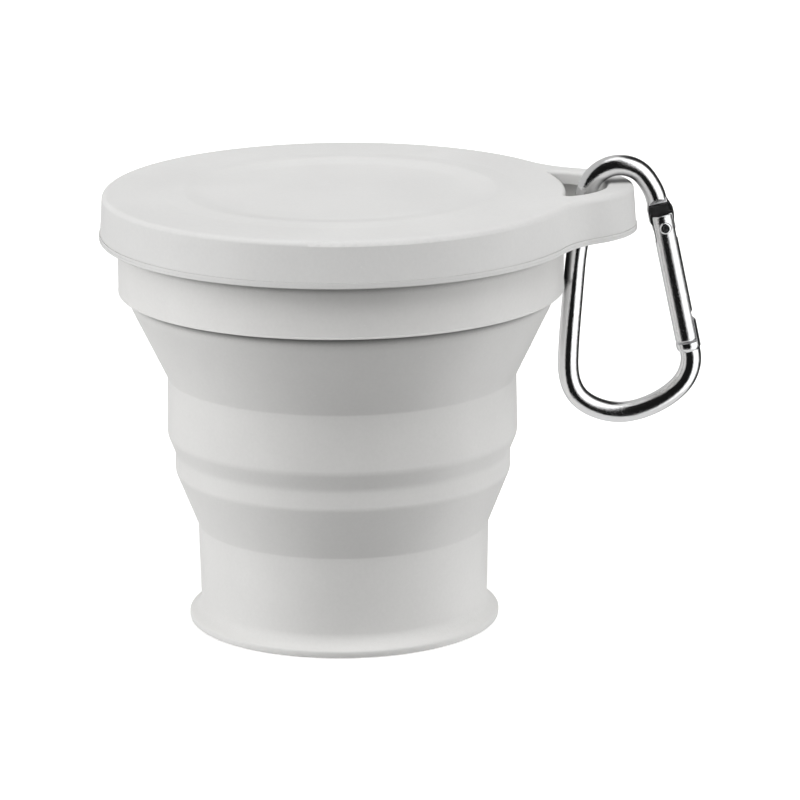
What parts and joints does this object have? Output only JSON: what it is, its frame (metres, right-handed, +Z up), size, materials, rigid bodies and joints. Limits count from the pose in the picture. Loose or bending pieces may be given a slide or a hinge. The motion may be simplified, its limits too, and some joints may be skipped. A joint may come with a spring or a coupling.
{
  "type": "collapsible travel cup",
  "caption": "Folding silicone travel cup on a rigid rim ring, with a press-on lid whose ear carries a spring-gate carabiner.",
  "frame": {"origin": "centre of the flat underside of the base", "axes": "+Z up along the cup's axis; +X towards the lid's ear and the carabiner"},
  "size_m": [0.1132, 0.09, 0.0871],
  "materials": {
    "silicone_lid": "fine matte silicone, light warm grey",
    "rim_plastic": "smooth matte, same grey as the silicone",
    "silicone_cup": "fine matte silicone, light warm grey",
    "polished_metal": "mirror polished",
    "spring_steel": "drawn wire"
  },
  "bodies": {
    "base": {"base_tier": "silicone_cup"},
    "middle": {"middle_tier": "silicone_cup", "lower_fold_web": "silicone_cup"},
    "collar": {"rim_tier": "silicone_cup", "rim_ring": "rim_plastic", "upper_fold_web": "silicone_cup"},
    "lid": {"lid": "silicone_lid"},
    "carabiner": {"carabiner_body": "polished_metal", "gate_rivet": "polished_metal"},
    "gate": {"carabiner_gate": "polished_metal", "gate_plunger": "spring_steel", "gate_spring": "spring_steel"}
  },
  "joints": [
    {"name": "lower_fold", "type": "slide", "parent": "base", "child": "middle", "axis": [0, 0, 1], "range_m": [-0.0206, 0], "deforming": ["lower_fold_web"]},
    {"name": "upper_fold", "type": "slide", "parent": "middle", "child": "collar", "axis": [0, 0, 1], "range_m": [-0.0266, 0], "deforming": ["upper_fold_web"]},
    {"name": "lid_lift", "type": "slide", "parent": "collar", "child": "lid", "axis": [0.0575, 0, 0.9983], "range_m": [0, 0.06]},
    {"name": "carabiner_swing", "type": "hinge", "parent": "lid", "child": "carabiner", "pos_m": [0.0524, 0, 0.0789], "axis": [0, -1, 0], "range_deg": [0, 55]},
    {"name": "gate_open", "type": "hinge", "parent": "carabiner", "child": "gate", "pos_m": [0.0609, 0, 0.0733], "axis": [0, 1, 0], "range_deg": [0, 28], "stiffness_Nm_per_rad": 0.03, "springref_deg": -20.05}
  ]
}
